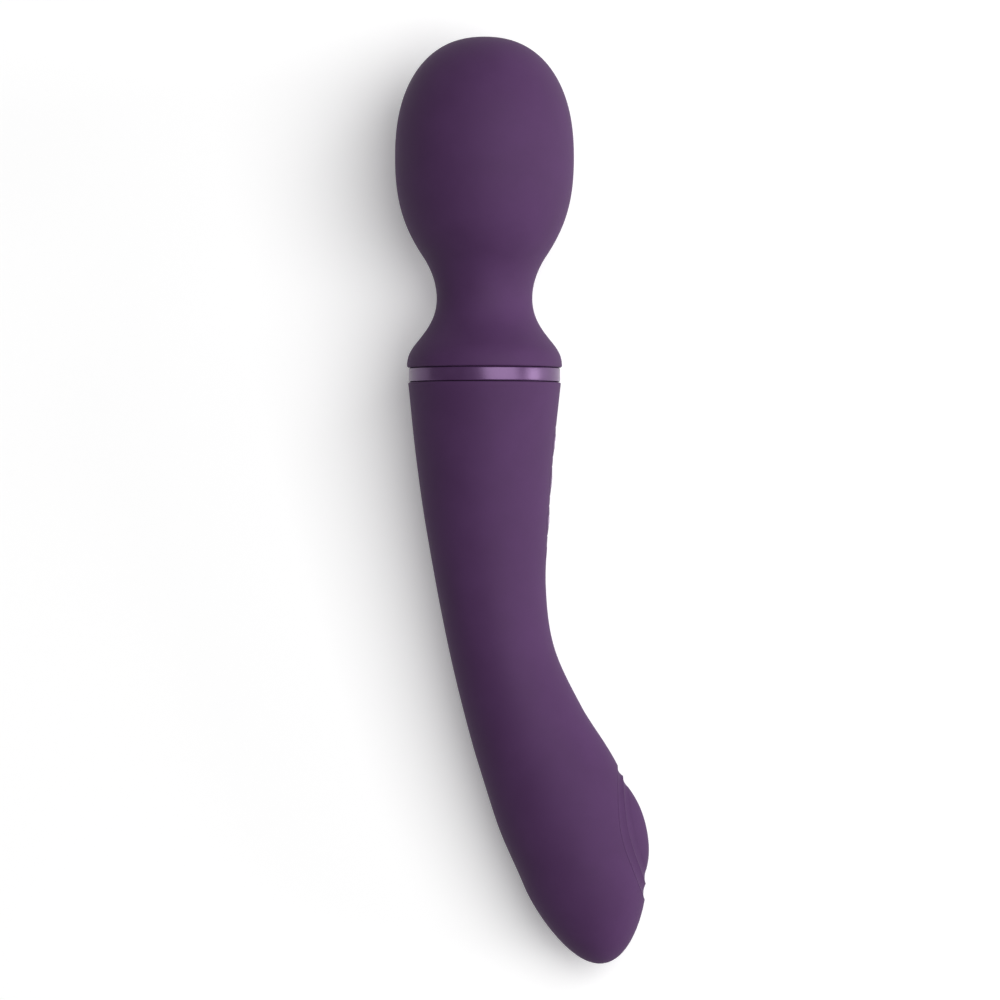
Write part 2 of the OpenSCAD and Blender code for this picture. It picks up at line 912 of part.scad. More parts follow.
module battery_leads() {
    color("firebrick") lay() {
        wire([[-5.8, 0, -10.05], [-3, 1.2, -10.1], [0.5, 2.6, -10.1], [3.6, 3.2, -11.2],
            [5.6, 3.2, -13.6], [7.5, 3.2, -17]], lead_r);
        wire([[1.5, 3, -55.3], [5, 3.4, -55.3], [7.4, 3.9, -53.6], [7.2, 4, -49],
            [6.6, 3.9, -46.5], [6.5, 3.8, -44.6]], lead_r);
    }
}

// Two leads to the tail motor and two thinner ones past it to the tapper's coil
module tail_leads() {
    color("firebrick") lay() {
        wire([[6.5, -3.8, -44.6], [6.5, -3.9, -46.5], [6.7, -3.9, -49], [7, -3.6, -53],
            [6.2, -1.6, -57.4], [6.3, -0.9, -61], [6.3, -0.8, -63.6]], lead_r);
        wire([[6.5, -5.1, -44.6], [6.5, -5.2, -46.5], [6.2, -5.2, -49], [5.8, -4.4, -53],
            [4.8, -2.2, -57.4], [4.8, -3, -60.5], [4.2, -3, -63.6], [2, -2.4, -65],
            [-0.8, -1.2, -65.7]], lead_r);
        for (s = [-1, 1])
            wire([[6.5, 6.5 * s, -44.6], [6.8, 6.4 * s, -49], [7.4, 4.6 * s, -54],
                [7.2, s, -57.4], [9, 0.7 * s, -62], [11.5, 0.6 * s, -67.5],
                [14, 0.6 * s, -76.1], [16.6, 0.6 * s, -84.8], [19.4, 2 * s, -92],
                [23, 4 * s, -99], [26.6, 6 * s, -106], [29.2, 6.8 * s, -112.4],
                [28.8, 7 * s, -116.2], [27, 6.9 * s, -119.7], [25.4, 6.6 * s, -122]],
                thin_lead_r);
    }
}

// ---------------------------------------------------------------- pulse drive

plunger_r = 2.5;
yoke_low = -22.2;
// Height of the return spring when the pad is all the way out
spring_shut_h = 2.3;
plunger_head_z = yoke_low - spring_shut_h - pad_travel;

module tapper_yoke() {
    color(steel_colour) lay() at_pad() difference() {
        union() {
            translate([-8.6, -6.5, -10.4]) cube([17.2, 13, 1.2]);
            translate([-8.6, -6.5, yoke_low]) cube([17.2, 13, 1.2]);
            for (x = [-8.6, 7.4])
                translate([x, -6.5, yoke_low]) cube([1.2, 13, 13]);
        }
        disc(plunger_r + 0.3, -24, -8);
    }
}

module tapper_bobbin() {
    color("ivory") lay() at_pad() {
        tube(3.3, plunger_r + 0.06, -20.9, -10.5);
        tube(6.2, plunger_r + 0.06, -11.3, -10.5);
        tube(6.2, plunger_r + 0.06, -20.9, -20.1);
    }
}

module tapper_coil() {
    color(copper_colour) lay() at_pad() tube(6, 3.35, -20.05, -11.35);
}

module tapper_plunger() {
    color(steel_colour) lay() at_pad() {
        disc(1.9, -8.8, -5);
        disc(plunger_r, plunger_head_z - 0.1, -8.7);
        disc(4, plunger_head_z - 1.1, plunger_head_z);
    }
}

module tapper_spring() {
    color(steel_colour) lay() at_pad() coil(3.2, 0.3, plunger_head_z + 0.05,
        yoke_low - 0.05, 5, 12);
}

module pad_plate() {
    under = skin_t - 0.15;
    color(shell_colour) lay() difference() {
        union() {
            difference() {
                intersection() {
                    grip(under);
                    at_pad() oval_prism(pad_a - 2.4, pad_b - 2.2, -9, 6);
                }
                grip(under + 1.6);
            }
            at_pad() disc(3.4, -8.6, -2.6);
        }
        at_pad() disc(1.95, -9, -4.9);
    }
}

// A low oval dome on a flat base, as rings of a squashed ball
module dome(a, b, h, base) {
    sides = 32;
    rows = [0 : 15 : 75];
    points = concat(
        [for (k = [0 : sides - 1]) [a * cos(360 * k / sides), b * sin(360 * k / sides), -base]],
        [
            for (t = rows) for (k = [0 : sides - 1])
                [a * cos(t) * cos(360 * k / sides), b * cos(t) * sin(360 * k / sides),
                    h * sin(t)]
        ],
        [[0, 0, h]]
    );
    n = 7;
    walls = [
        for (i = [0 : n - 2]) for (k = [0 : sides - 1])
            let (m = (k + 1) % sides, p = i * sides, q = p + sides)
            each [[p + k, q + m, p + m], [p + k, q + k, q + m]]
    ];
    top = [for (k = [0 : sides - 1]) [(n - 1) * sides + k, n * sides,
        (n - 1) * sides + (k + 1) % sides]];
    polyhedron(points, concat([[for (k = [0 : sides - 1]) k]], walls, top));
}

module pulse_pad() {
    under = skin_t - 0.25;
    color(skin_colour) lay() difference() {
        union() {
            intersection() {
                grip(0, outer_sides, outer_steps);
                at_pad() oval_prism(pad_a - move_gap, pad_b - move_gap, -9, 6);
            }
            at_pad() translate([dome_shift, 0, dome_base]) dome(dome_a, dome_b, dome_h, 1);
        }
        grip(under);
    }
}

// ---------------------------------------------------------------- assembly

head_sleeve();
head_shell_cap();
head_shell_cup();
head_shell_screws();
head_motor_can();
head_motor_endbell();
head_motor_magnets();
head_motor_bushes();
head_motor_cushion();
head_motor_shaft();
head_motor_core();
head_motor_windings();
head_motor_commutator();
head_weight();
head_motor_leads();
neck_spring();
collar_mount();
collar_seal();
trim_ring();
handle_sleeve();
handle_shell_left();
handle_shell_right();
handle_shell_screws();
battery_cell();
battery_tray();
main_board();
board_chips();
key_switches();
status_led();
board_screws();
power_key();
head_mode_key();
pulse_mode_key();
charge_jack();
jack_seal();
battery_leads();
tail_leads();
tail_motor_can();
tail_motor_endbell();
tail_motor_magnets();
tail_motor_bushes();
tail_motor_cradle();
tail_motor_shaft();
tail_motor_core();
tail_motor_windings();
tail_motor_commutator();
tail_weight();
tapper_yoke();
tapper_bobbin();
tapper_coil();
tapper_plunger();
tapper_spring();
pad_plate();
pulse_pad();
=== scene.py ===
import json
import math

import bmesh
import bpy
import numpy as np
from mathutils import Matrix, Vector
from mathutils.bvhtree import BVHTree


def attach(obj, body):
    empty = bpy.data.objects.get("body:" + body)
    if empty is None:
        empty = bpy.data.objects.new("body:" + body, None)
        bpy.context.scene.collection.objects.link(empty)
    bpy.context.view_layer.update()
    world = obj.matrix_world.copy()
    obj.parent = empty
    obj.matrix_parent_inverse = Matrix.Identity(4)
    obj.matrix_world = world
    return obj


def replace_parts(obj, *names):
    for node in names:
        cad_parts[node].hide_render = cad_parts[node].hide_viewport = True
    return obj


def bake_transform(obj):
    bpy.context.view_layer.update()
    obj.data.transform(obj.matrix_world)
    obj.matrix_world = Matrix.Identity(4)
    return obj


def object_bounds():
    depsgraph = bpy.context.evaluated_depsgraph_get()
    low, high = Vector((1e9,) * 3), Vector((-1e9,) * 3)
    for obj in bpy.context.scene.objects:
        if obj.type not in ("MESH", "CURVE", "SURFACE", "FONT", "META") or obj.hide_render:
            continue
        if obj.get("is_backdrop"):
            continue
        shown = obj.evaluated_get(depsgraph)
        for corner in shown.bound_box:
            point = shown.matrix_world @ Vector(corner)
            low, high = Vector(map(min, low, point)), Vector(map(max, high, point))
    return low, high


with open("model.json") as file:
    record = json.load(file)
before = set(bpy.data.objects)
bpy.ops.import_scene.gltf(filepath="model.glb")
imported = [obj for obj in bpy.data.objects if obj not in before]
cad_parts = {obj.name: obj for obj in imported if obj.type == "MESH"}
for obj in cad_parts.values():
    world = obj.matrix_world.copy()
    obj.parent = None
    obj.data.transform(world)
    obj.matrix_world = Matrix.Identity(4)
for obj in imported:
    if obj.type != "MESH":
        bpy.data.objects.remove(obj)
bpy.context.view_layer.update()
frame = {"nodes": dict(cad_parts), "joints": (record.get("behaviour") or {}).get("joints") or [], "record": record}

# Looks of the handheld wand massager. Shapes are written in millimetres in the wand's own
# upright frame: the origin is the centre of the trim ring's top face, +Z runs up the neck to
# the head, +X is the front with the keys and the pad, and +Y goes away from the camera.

MM = 0.001

# ---------------------------------------------------------------- the wand's frame

NECK_Z = 18.0  # height of the neck's narrowest place, where neck_flex turns
joints = {j["name"]: j for j in frame["joints"]}
UP = Vector(joints["head_motor_spin"]["axis"]).normalized()
SIDE = -Vector(joints["neck_flex"]["axis"]).normalized()
FRONT = SIDE.cross(UP)
ORIGIN = Vector(joints["neck_flex"]["pos_m"]) - NECK_Z * MM * UP
AXES = np.array([FRONT, SIDE, UP])


def to_row(points):
    """Points of the wand's frame, in millimetres, as points of the row frame, in metres."""
    return np.array(ORIGIN) + MM * (np.asarray(points, float) @ AXES)


def placed(points, origin, turn):
    """Points of a local frame that is turned about +Y by turn degrees and moved to origin."""
    c, s = math.cos(math.radians(turn)), math.sin(math.radians(turn))
    p = np.asarray(points, float)
    x, y, z = p[:, 0], p[:, 1], p[:, 2]
    return np.column_stack([x * c + z * s, y, z * c - x * s]) + np.array(origin)


# ---------------------------------------------------------------- materials


def start_material(name, roughness, metallic=0.0, specular=0.5):
    """A new material, its nodes and links, and its shader."""
    material = bpy.data.materials.new(name)
    material.use_nodes = True
    nodes = material.node_tree.nodes
    shader = nodes["Principled BSDF"]
    shader.inputs["Roughness"].default_value = roughness
    shader.inputs["Metallic"].default_value = metallic
    shader.inputs["Specular IOR Level"].default_value = specular
    return material, nodes, material.node_tree.links, shader


def add_noise(nodes, links, scale, detail=3.0, squeeze=(1, 1, 1)):
    """Noise in the row frame, scale features a metre, and squeeze times as many on each axis."""
    place = nodes.new("ShaderNodeTexCoord")
    mapping = nodes.new("ShaderNodeMapping")
    mapping.inputs["Scale"].default_value = squeeze
    noise = nodes.new("ShaderNodeTexNoise")
    noise.inputs["Scale"].default_value = scale
    noise.inputs["Detail"].default_value = detail
    links.new(place.outputs["Object"], mapping.inputs["Vector"])
    links.new(mapping.outputs["Vector"], noise.inputs["Vector"])
    return noise.outputs["Fac"]


def add_bands(nodes, links, scale, direction, distortion=0.0):
    """Sine bands along one axis of the row frame, 20 / (2 pi) a metre for each unit of scale."""
    place = nodes.new("ShaderNodeTexCoord")
    wave = nodes.new("ShaderNodeTexWave")
    wave.bands_direction = direction
    wave.inputs["Scale"].default_value = scale
    wave.inputs["Distortion"].default_value = distortion
    links.new(place.outputs["Object"], wave.inputs["Vector"])
    return wave.outputs["Fac"]


def colour_between(nodes, links, shader, factor, dark, light, low=0.35, high=0.65):
    """The base colour goes from dark to light as the factor goes from low to high."""
    ramp = nodes.new("ShaderNodeValToRGB")
    ramp.color_ramp.elements[0].position = low
    ramp.color_ramp.elements[1].position = high
    ramp.color_ramp.elements[0].color = (*dark, 1)
    ramp.color_ramp.elements[1].color = (*light, 1)
    links.new(factor, ramp.inputs["Fac"])
    links.new(ramp.outputs["Color"], shader.inputs["Base Color"])


def vary_roughness(nodes, links, shader, factor, low, high):
    """The roughness goes from low to high over the middle of the factor's range."""
    spread = nodes.new("ShaderNodeMapRange")
    spread.inputs["From Min"].default_value = 0.3
    spread.inputs["From Max"].default_value = 0.7
    spread.inputs["To Min"].default_value = low
    spread.inputs["To Max"].default_value = high
    links.new(factor, spread.inputs["Value"])
    links.new(spread.outputs["Result"], shader.inputs["Roughness"])


def add_bump(nodes, links, shader, height, strength, depth):
    """Height moves the surface by up to depth metres, seen only in its shading."""
    bump = nodes.new("ShaderNodeBump")
    bump.inputs["Strength"].default_value = strength
    bump.inputs["Distance"].default_value = depth
    links.new(height, bump.inputs["Height"])
    links.new(bump.outputs["Normal"], shader.inputs["Normal"])


def silicone(name, dark, light, roughness):
    """Matt soft-touch silicone: faint mottling, and a grain about a third of a millimetre wide."""
    material, nodes, links, shader = start_material(name, roughness, specular=0.15)
    mottle = add_noise(nodes, links, 90, detail=4)
    colour_between(nodes, links, shader, mottle, dark, light)
    vary_roughness(nodes, links, shader, mottle, roughness - 0.04, roughness + 0.04)
    grain = add_noise(nodes, links, 3000, detail=2)
    add_bump(nodes, links, shader, grain, 0.25, 0.00004)
    return material


def moulded(name, dark, light, roughness, grain_depth=0.00003):
    """Moulded plastic or rubber with a fine spark-eroded texture."""
    material, nodes, links, shader = start_material(name, roughness, specular=0.45)
    colour_between(nodes, links, shader, add_noise(nodes, links, 140), dark, light)
    grain = add_noise(nodes, links, 2200, detail=2)
    vary_roughness(nodes, links, shader, grain, roughness - 0.06, roughness + 0.06)
    add_bump(nodes, links, shader, grain, 0.3, grain_depth)
    return material


def metal(name, dark, light, roughness, squeeze=(1, 1, 1), depth=0.00001):
    """Bare or plated metal with fine tool marks, which run across the axes that are squeezed."""
    material, nodes, links, shader = start_material(name, roughness, metallic=1.0)
    marks = add_noise(nodes, links, 900, detail=4, squeeze=squeeze)
    colour_between(nodes, links, shader, marks, dark, light)
    vary_roughness(nodes, links, shader, marks, roughness - 0.08, roughness + 0.08)
    add_bump(nodes, links, shader, marks, 0.2, depth)
    return material


def wound_wire(name, dark, light):
    """Enamelled wire laid turn beside turn."""
    material, nodes, links, shader = start_material(name, 0.3, metallic=0.85)
    turns = add_bands(nodes, links, 800, "Z", distortion=0.4)
    colour_between(nodes, links, shader, turns, dark, light, 0.1, 0.9)
    add_bump(nodes, links, shader, turns, 0.8, 0.0001)
    shader.inputs["Coat Weight"].default_value = 0.5
    return material


def laminations(name, dark, light):
    """Stacked sheet steel: fine dark lines across the shaft."""
    material, nodes, links, shader = start_material(name, 0.4, metallic=1.0)
    sheets = add_bands(nodes, links, 620, "Y")
    colour_between(nodes, links, shader, sheets, dark, light, 0.05, 0.4)
    add_bump(nodes, links, shader, sheets, 0.5, 0.00005)
    return material


def board(name):
    """Green solder mask with paler copper traces under it."""
    material, nodes, links, shader = start_material(name, 0.35)
    traces = add_bands(nodes, links, 260, "Y", distortion=6)
    colour_between(nodes, links, shader, traces, (0.01, 0.09, 0.035), (0.03, 0.2, 0.08), 0.7, 0.8)
    add_bump(nodes, links, shader, traces, 0.4, 0.00003)
    return material


def wrap(name, dark, light):
    """Glossy shrink wrap with a faint pull along the cell."""
    material, nodes, links, shader = start_material(name, 0.22)
    pull = add_noise(nodes, links, 300, squeeze=(1, 0.15, 1))
    colour_between(nodes, links, shader, pull, dark, light)
    add_bump(nodes, links, shader, pull, 0.3, 0.00006)
    return material


def metallised(name):
    """Plastic with a thin metal film under a tinted satin lacquer, hazed a little."""
    material, nodes, links, shader = start_material(name, 0.31, metallic=0.35)
    haze = add_noise(nodes, links, 240, detail=4)
    colour_between(nodes, links, shader, haze, (0.115, 0.05, 0.148), (0.127, 0.057, 0.163))
    vary_roughness(nodes, links, shader, haze, 0.28, 0.34)
    return material


SKIN = silicone("soft_touch_silicone", (0.079, 0.032, 0.102), (0.087, 0.036, 0.113), 0.68)
KEY = silicone("key_silicone", (0.068, 0.024, 0.091), (0.076, 0.028, 0.101), 0.55)
ICON = moulded("key_print", (0.42, 0.34, 0.46), (0.5, 0.41, 0.54), 0.5)
TRIM = metallised("metallised_trim")
BLACK = moulded("black_moulding", (0.012, 0.011, 0.014), (0.02, 0.018, 0.022), 0.55)
RUBBER = moulded("moulded_rubber", (0.01, 0.01, 0.011), (0.018, 0.018, 0.019), 0.7)
CONTACT = metal("plated_contact", (0.6, 0.5, 0.28), (0.75, 0.63, 0.36), 0.25)
SPRING_STEEL = metal("spring_wire", (0.35, 0.35, 0.37), (0.5, 0.5, 0.52), 0.3, (1, 6, 1))
LEADS = moulded("lead_insulation", (0.35, 0.015, 0.015), (0.5, 0.03, 0.028), 0.4)

SLOT_MATERIALS = {
    "black_abs": BLACK,
    "screw_steel": metal("zinc_screw", (0.4, 0.41, 0.42), (0.55, 0.56, 0.57), 0.3),
    "zinc_steel": metal("zinc_plate", (0.45, 0.46, 0.48), (0.62, 0.63, 0.65), 0.35, (1, 5, 1)),
    "ground_steel": metal("ground_steel", (0.5, 0.5, 0.52), (0.68, 0.68, 0.7), 0.2, (8, 1, 8)),
    "spring_steel": SPRING_STEEL,
    "core_steel": laminations("core_laminations", (0.08, 0.08, 0.09), (0.3, 0.31, 0.33)),
    "ferrite": moulded("ferrite", (0.03, 0.03, 0.033), (0.07, 0.07, 0.075), 0.75, 0.00008),
    "endbell_nylon": moulded("endbell_nylon", (0.02, 0.02, 0.022), (0.035, 0.035, 0.04), 0.45),
    "bobbin_nylon": moulded("bobbin_nylon", (0.6, 0.56, 0.46), (0.72, 0.68, 0.58), 0.4),
    "magnet_wire": wound_wire("magnet_wire", (0.22, 0.06, 0.02), (0.62, 0.24, 0.09)),
    "commutator_copper": metal(
        "commutator", (0.5, 0.22, 0.1), (0.72, 0.36, 0.19), 0.25, (1, 8, 1)
    ),
    "bush_bronze": metal(
        "sintered_bronze", (0.35, 0.22, 0.09), (0.52, 0.34, 0.15), 0.5, depth=0.00005
    ),
    "weight_brass": metal("pressed_brass", (0.5, 0.35, 0.13), (0.68, 0.5, 0.2), 0.35),
    "rubber_black": RUBBER,
    "lead_insulation": LEADS,
    "cell_wrap": wrap("cell_wrap", (0.015, 0.09, 0.3), (0.025, 0.13, 0.4)),
    "circuit_board": board("circuit_board"),
    "chip_resin": moulded("chip_resin", (0.015, 0.015, 0.016), (0.028, 0.028, 0.03), 0.5),
    "switch_metal": metal("switch_cover", (0.5, 0.5, 0.5), (0.65, 0.65, 0.66), 0.3),
    "led_lens": moulded("led_lens", (0.75, 0.74, 0.68), (0.88, 0.87, 0.82), 0.15, 0.00001),
    "jack_resin": moulded("jack_resin", (0.014, 0.014, 0.015), (0.025, 0.025, 0.027), 0.4),
    "silicone_skin": SKIN,
    "key_caps": KEY,
    "trim_metal": TRIM,
}

for subpart in frame["record"]["subparts"]:
    node = frame["nodes"][subpart["node"]]
    node.data.materials.clear()
    node.data.materials.append(SLOT_MATERIALS[subpart["material_slot"]])

# ---------------------------------------------------------------- mesh building

SHARP_ANGLE = 35  # degrees: edges bent by more than this stay sharp


def make_mesh(name, points, faces, material):
    """An object from points of the wand's frame."""
    mesh = bpy.data.meshes.new(name)
    mesh.from_pydata(to_row(points).tolist(), [], faces)
    finish_mesh(mesh, material)
    made = bpy.data.objects.new(name, mesh)
    bpy.context.scene.collection.objects.link(made)
    return made


def finish_mesh(mesh, material):
    """Outward normals, smooth shading up to the sharp angle, and one material."""
    shape = bmesh.new()
    shape.from_mesh(mesh)
    bmesh.ops.recalc_face_normals(shape, faces=shape.faces)
    shape.to_mesh(mesh)
    shape.free()
    mesh.shade_smooth()
    mesh.set_sharp_from_angle(angle=math.radians(SHARP_ANGLE))
    mesh.materials.clear()
    mesh.materials.append(material)


def through_rings(rings, start=None, end=None, loop=False):
    """Points and faces through rings of equal count. Start and end are points that close it."""
    sides, count = len(rings[0]), len(rings)
    points = np.concatenate(rings)
    faces = []
    for i in range(count if loop else count - 1):
        p, q = i * sides, (i + 1) % count * sides
        faces += [(p + k, p + (k + 1) % sides, q + (k + 1) % sides, q + k) for k in range(sides)]
    for tip, first in ((start, 0), (end, (count - 1) * sides)):
        if tip is not None:
            points = np.vstack([points, tip])
            top = len(points) - 1
            faces += [(first + k, first + (k + 1) % sides, top) for k in range(sides)]
    return points, faces


ON_AXIS = 1e-6  # a smaller radius than this lies on the axis


def turned(profile, sides):
    """Points and faces of a [radius, height] profile about +Z. Ends on the axis close it."""
    angles = np.arange(sides) * 2 * math.pi / sides
    circle = np.column_stack([np.cos(angles), np.sin(angles)])
    ends = [[0, 0, z] if r < ON_AXIS else None for r, z in (profile[0], profile[-1])]
    body = [p for p in profile if p[0] >= ON_AXIS]
    rings = [np.column_stack([r * circle, np.full(sides, z)]) for r, z in body]
    return through_rings(rings, ends[0], ends[1], loop=ends[0] is None)


def smooth_path(knots, steps=6):
    """A Catmull-Rom curve through the knots."""
    k = np.asarray(knots, float)
    k = np.vstack([2 * k[0] - k[1], k, 2 * k[-1] - k[-2]])
    made = []
    for i in range(1, len(k) - 2):
        for t in np.arange(steps) / steps:
            made.append(catmull(k[i - 1], k[i], k[i + 1], k[i + 2], t))
    return np.vstack([made, k[-2]])


def catmull(p0, p1, p2, p3, t):
    """The point a share t of the way from p1 to p2."""
    return p1 + 0.5 * t * (
        p2 - p0 + t * (2 * p0 - 5 * p1 + 4 * p2 - p3 + t * (3 * p1 - p0 - 3 * p2 + p3))
    )


TIP_SHARE = 0.6  # a wire's end is a cone this many radii high


def wire(path, radius, sides=10):
    """Points and faces of a round wire along a path, with pointed ends."""
    path = np.asarray(path, float)
    tangents = np.gradient(path, axis=0)
    tangents /= np.linalg.norm(tangents, axis=1)[:, None]
    not_along_a_wire = [0.3, 1, 0.2]
    across = np.cross(tangents[0], not_along_a_wire)
    angles = np.arange(sides) * 2 * math.pi / sides
    rings = []
    for point, tangent in zip(path, tangents):
        across = across - (across @ tangent) * tangent
        across /= np.linalg.norm(across)
        up = np.cross(tangent, across)
        rings.append(
            point + radius * (np.outer(np.cos(angles), across) + np.outer(np.sin(angles), up))
        )
    tip = TIP_SHARE * radius
    return through_rings(rings, path[0] - tip * tangents[0], path[-1] + tip * tangents[-1])


def arc(cx, cz, radius, first, last, steps=5):
    """Points of an arc of a profile, from one angle to another, in degrees."""
    return [
        [cx + radius * math.cos(t), cz + radius * math.sin(t)]
        for t in np.radians(np.linspace(first, last, steps + 1))
    ]


def bezier(points, steps):
    """A cubic Bezier curve without its first point."""
    p = np.asarray(points, float)
    t = (np.arange(steps) + 1)[:, None] / steps
    s = 1 - t
    return (s**3 * p[0] + 3 * s * s * t * p[1] + 3 * s * t * t * p[2] + t**3 * p[3]).tolist()


def cut(made, cutters, operation, material):
    """Joins the cutters to the object, or cuts them out of it, and then removes them."""
    for cutter in cutters:
        modifier = made.modifiers.new(operation.lower(), "BOOLEAN")
        modifier.operation = operation
        modifier.solver = "EXACT"
        modifier.object = cutter
    bpy.context.view_layer.update()
    graph = bpy.context.evaluated_depsgraph_get()
    mesh = bpy.data.meshes.new_from_object(made.evaluated_get(graph))
    made.modifiers.clear()
    made.data = mesh
    for cutter in cutters:
        bpy.data.objects.remove(cutter)
    finish_mesh(mesh, material)


# ---------------------------------------------------------------- head and neck

HEAD_R, HEAD_Z = 23.2, 54.5  # the head is widest here
CROWN_H, CROWN_N = 31.3, 2.3  # the crown is part of a superellipse of this height and power
CHEEK_Z = 44.8  # pulls the outline straight down from the widest place
FLANK, FLANK_SLOPE = np.array([16.1, 29.1]), np.array([1.4, 2.1])  # where head becomes neck
NECK_R, NECK_PULL = 12.4, 5  # the waist, and how far it pulls the outline straight
SHOULDER, SHOULDER_FALL = np.array([17, 7.3]), np.array([2, -2.5])
SHOULDER_R, SHOULDER_PULL_Z, LIP_ROUND = 20.1, 3.6, 0.5
SKIN_T = 2.1
FOOT_Z = 0.12  # gap between the head's skin and the trim ring
FOOT_H = 1.2  # the skin's inner side runs straight up to this height above its foot


def head_outline():
    """[radius, height] from the crown down to the lip above the trim ring."""
    angles = np.radians(np.linspace(90, 0, 37))
    power = 2 / CROWN_N
    crown = [
        [HEAD_R * max(math.cos(t), 0) ** power, HEAD_Z + CROWN_H * math.sin(t) ** power]
        for t in angles
    ]
    crown[0][0] = 0
    neck, pull = np.array([NECK_R, NECK_Z]), np.array([0, NECK_PULL])
    low_pull, lip = [SHOULDER_R, SHOULDER_PULL_Z], [SHOULDER_R, FOOT_Z + LIP_ROUND]
    return (
        crown
        + bezier([crown[-1], [HEAD_R, CHEEK_Z], FLANK + 4 * FLANK_SLOPE, FLANK], 24)
        + bezier([FLANK, FLANK - FLANK_SLOPE, neck + pull, neck], 16)
        + bezier([neck, neck - pull, SHOULDER - SHOULDER_FALL, SHOULDER], 16)
        + bezier([SHOULDER, SHOULDER + 0.8 * SHOULDER_FALL, low_pull, lip], 12)
        + arc(SHOULDER_R - LIP_ROUND, FOOT_Z + LIP_ROUND, LIP_ROUND, -15, -90)
    )


def inset(outline, depth):
    """The outline moved inwards, as far as the foot."""
    p = np.array([q for q in outline if q[1] > FOOT_Z + FOOT_H])
    slope = np.gradient(p, axis=0)
    slope /= np.linalg.norm(slope, axis=1)[:, None]
    slope[0] = [1, 0]
    inner = p + depth * np.column_stack([slope[:, 1], -slope[:, 0]])
    inner[0][0] = 0
    return inner.tolist()


outline = head_outline()
inner = inset(outline, SKIN_T)
foot = [[SHOULDER_R - SKIN_T, FOOT_Z]]
head_skin = make_mesh("head_skin", *turned(outline + foot + inner[::-1], 192), SKIN)
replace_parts(head_skin, "head_sleeve")


def bend_at_neck(piece):
    """Bakes the piece's placement into its points."""
    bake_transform(piece)


bend_at_neck(head_skin)


def coil_path(radius, wire_r, low, high, turns, steps=28):
    """The centre line of a coil spring with one closed turn at each end."""
    closed = 2.1 * wire_r  # the pitch of a closed turn, a little over the wire's diameter
    pitch = (high - low - 2 * wire_r - 2 * closed) / (turns - 2)
    s = np.arange(turns * steps + 1) / steps
    opened = np.clip(s - 1, 0, turns - 2)
    z = low + wire_r + closed * (s - opened) + pitch * opened
    return np.column_stack([
        radius * np.cos(2 * math.pi * s), radius * np.sin(2 * math.pi * s), z
    ])


COIL_R, COIL_WIRE_R, COIL_LOW, COIL_HIGH, COIL_TURNS = 6.4, 0.75, 7.05, 27.95, 6
coil = coil_path(COIL_R, COIL_WIRE_R, COIL_LOW, COIL_HIGH, COIL_TURNS)
neck_coil = make_mesh("neck_coil", *wire(coil, COIL_WIRE_R, 12), SPRING_STEEL)
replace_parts(neck_coil, "neck_spring")
bend_at_neck(neck_coil)

# The front lead from the motor down to the board: x and z, then x, its spread and z
LEAD_ROUTE = [
    (6, 31.5), (4.2, 31.4), (2.6, 30.4), (1.4, 28), (1, 23), (1, 18), (1, 13), (1, 7), (1, 1),
    (1, -5),
]
LEAD_TAIL = [(1, 1, -8.6), (3.2, 0.8, -11), (5, 0.7, -13), (5.4, 0.7, -14.8)]
LEAD_R, LEAD_Y = 0.5, 0.9
for side, name in ((-1, "head_lead_rear"), (1, "head_lead_front")):
    route = [(side * x, side * LEAD_Y, z) for x, z in LEAD_ROUTE]
    route += [(x + side * spread, side * LEAD_Y, z) for x, spread, z in LEAD_TAIL]
    lead = make_mesh(name, *wire(smooth_path(route), LEAD_R), LEADS)
    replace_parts(lead, "head_motor_leads")
    bend_at_neck(lead)

# ---------------------------------------------------------------- trim ring

RING_R, RING_INNER, RING_H, RING_ROUND = 19.6, 17.6, 3.6, 0.35
band = (
    [[RING_INNER, 0]]
    + arc(RING_R - RING_ROUND, -RING_ROUND, RING_ROUND, 90, 0)
    + arc(RING_R - RING_ROUND, RING_ROUND - RING_H, RING_ROUND, 0, -90)
    + [[RING_INNER, -RING_H]]
)
trim_band = make_mesh("trim_band", *turned(band, 192), TRIM)
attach(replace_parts(trim_band, "trim_ring"), "handle")

# ---------------------------------------------------------------- handle skin

# Stations down the handle: spine x, spine z, half depth, half width
STATIONS = np.array([
    [0, -3.9, 19.8, 19.8],
    [0, -20, 18.1, 17.9],
    [0.6, -38, 16.2, 15.9],
    [2, -58, 14, 14],
    [5.2, -76, 13.4, 13.4],
    [11.5, -94, 15.1, 14],
    [19.6, -112, 17.4, 14.5],
    [26, -130, 16.3, 13.6],
    [31.4, -154.2, 13, 11.5],
])
LAST = len(STATIONS) - 1
TIP_LENGTH = math.hypot(*(STATIONS[LAST] - STATIONS[LAST - 1])[:2])
GRIP_SIDES, GRIP_STEPS, TIP_STEPS = 144, 14, 20
SLOPE_STEP = 0.02  # the spine's direction is measured over this part of a station each way


def station(i):
    """A station, or one that carries on in a straight line past either end."""
    if i < 0:
        return 2 * STATIONS[0] - STATIONS[1]
    if i > LAST:
        return 2 * STATIONS[LAST] - STATIONS[LAST - 1]
    return STATIONS[i]


def along(u):
    """A smooth station at any place u between the first, 0, and the last."""
    i = min(int(u), LAST - 1)
    return catmull(station(i - 1), station(i), station(i + 1), station(i + 2), u - i)


def grip_ring(u, shrink, depth):
    """One ring of the handle, depth millimetres under its surface, shrink times as wide."""
    s = along(u)
    d = (along(min(u + SLOPE_STEP, LAST)) - along(max(u - SLOPE_STEP, 0)))[:2]
    d /= np.linalg.norm(d)
    t = np.arange(GRIP_SIDES) * 2 * math.pi / GRIP_SIDES
    across = (s[2] - depth) * shrink * np.cos(t)
    return np.column_stack([
        s[0] - d[1] * across, (s[3] - depth) * shrink * np.sin(t), s[1] + d[0] * across
    ])


